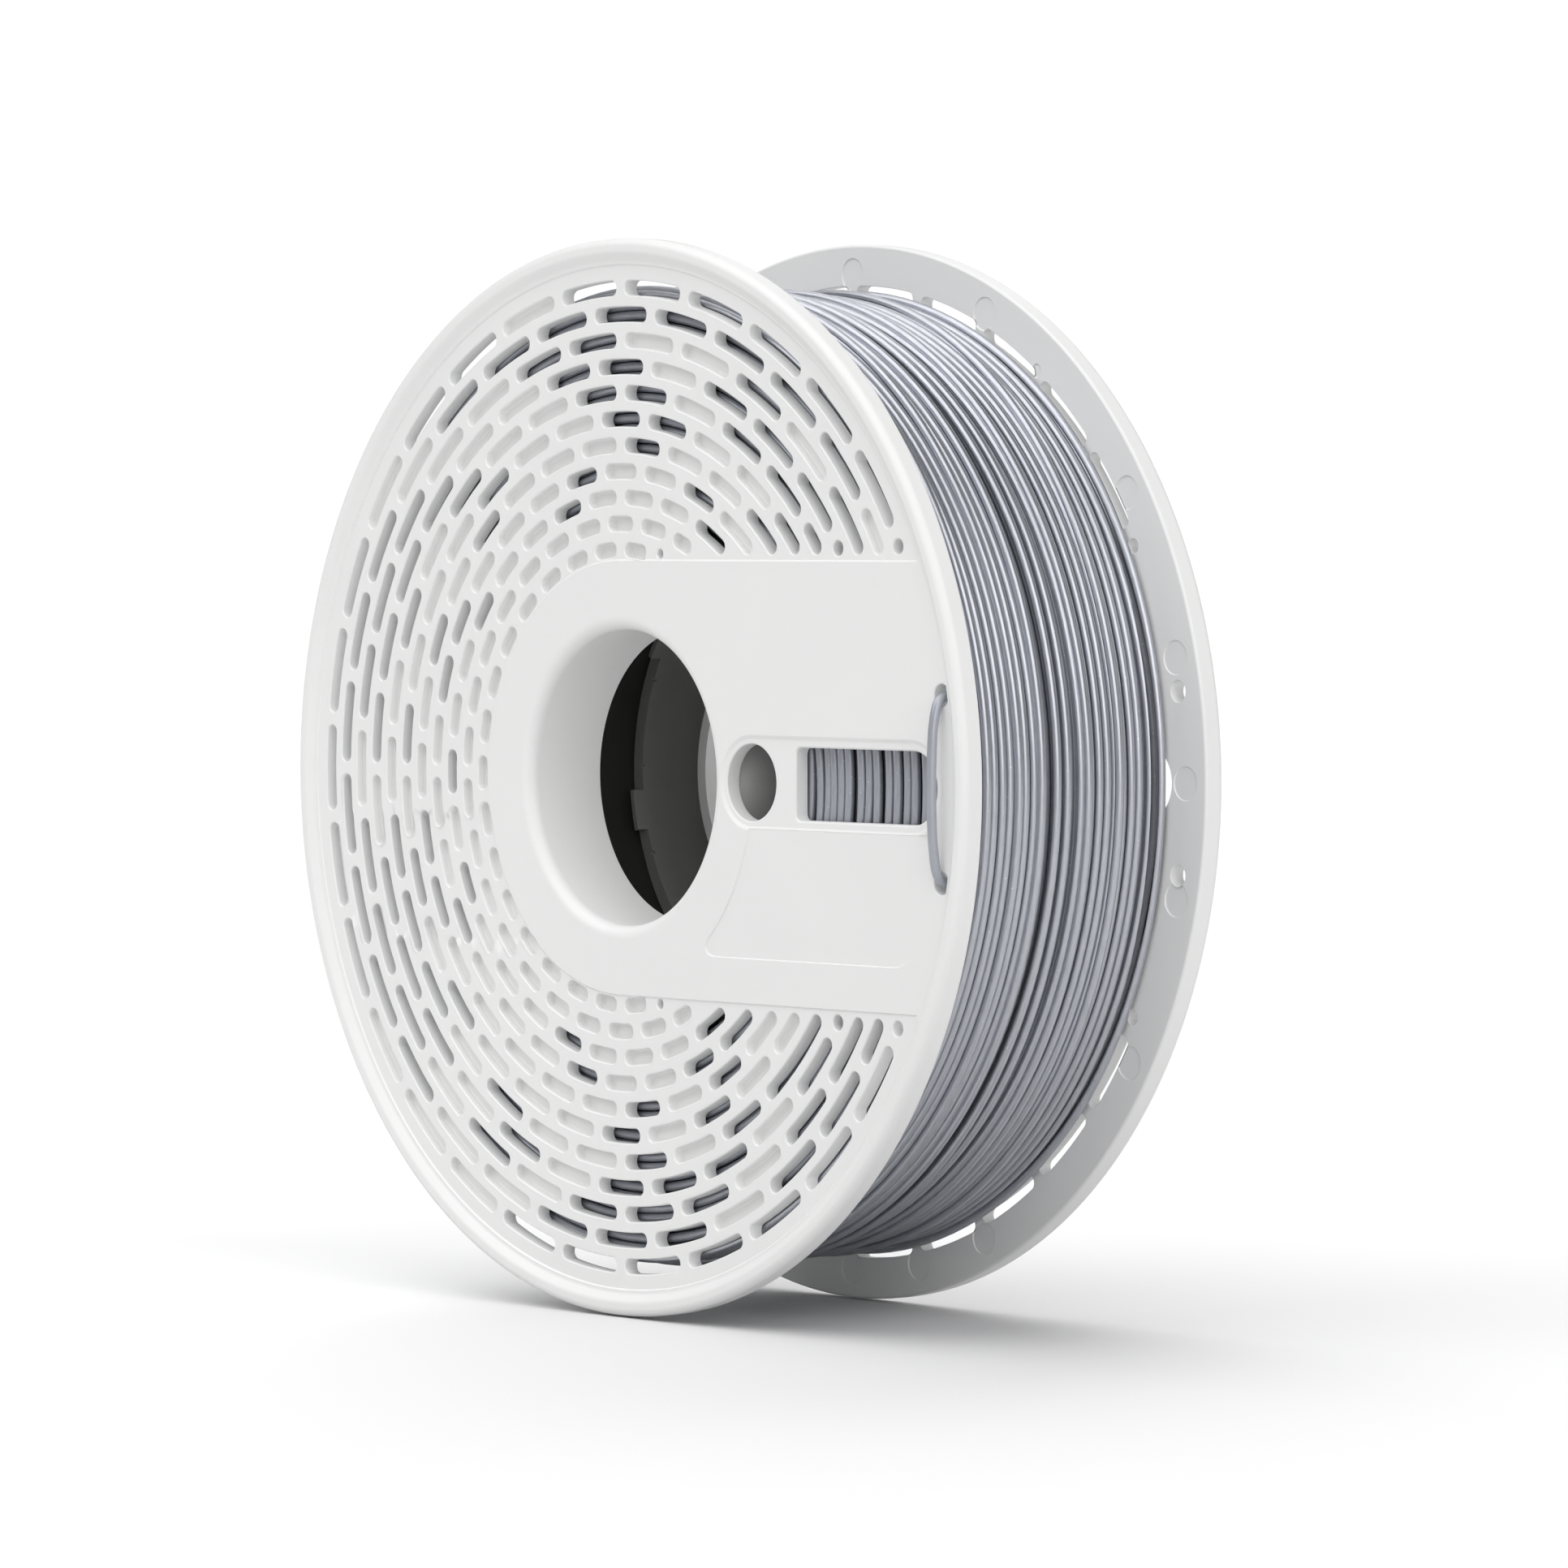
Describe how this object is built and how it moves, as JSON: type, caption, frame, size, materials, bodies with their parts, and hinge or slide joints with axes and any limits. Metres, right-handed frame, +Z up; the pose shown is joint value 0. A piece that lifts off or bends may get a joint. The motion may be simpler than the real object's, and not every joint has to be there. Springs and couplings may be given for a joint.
{
  "type": "filament spool",
  "caption": "Slotted two-part plastic spool, wound with round 3D-printer filament; its outer end is threaded through the front flange beside a window.",
  "frame": {"origin": "centre of the hub bore, halfway between the two outer faces", "axes": "+Y along the bore from the front face to the rear face; +X along the plain band, from the bore to the window; +Z up"},
  "size_m": [0.2, 0.0639, 0.2],
  "materials": {
    "white_plastic": "white satin moulded plastic",
    "charcoal_plastic": "dark grey moulded plastic",
    "silver_filament": "silver-grey filament with a fine metallic glitter"
  },
  "bodies": {
    "front_half": {"front_flange": "white_plastic", "front_bore_collar": "white_plastic", "front_core_sleeve": "charcoal_plastic", "filament_coil": "silver_filament", "filament_outer_end": "silver_filament", "filament_inner_end": "silver_filament"},
    "rear_half": {"rear_flange": "white_plastic", "rear_bore_collar": "white_plastic", "rear_core_sleeve": "charcoal_plastic"}
  },
  "joints": [
    {"name": "rear_half_slide", "type": "slide", "parent": "front_half", "child": "rear_half", "axis": [0, 1, 0], "range_m": [0, 0.03]}
  ]
}
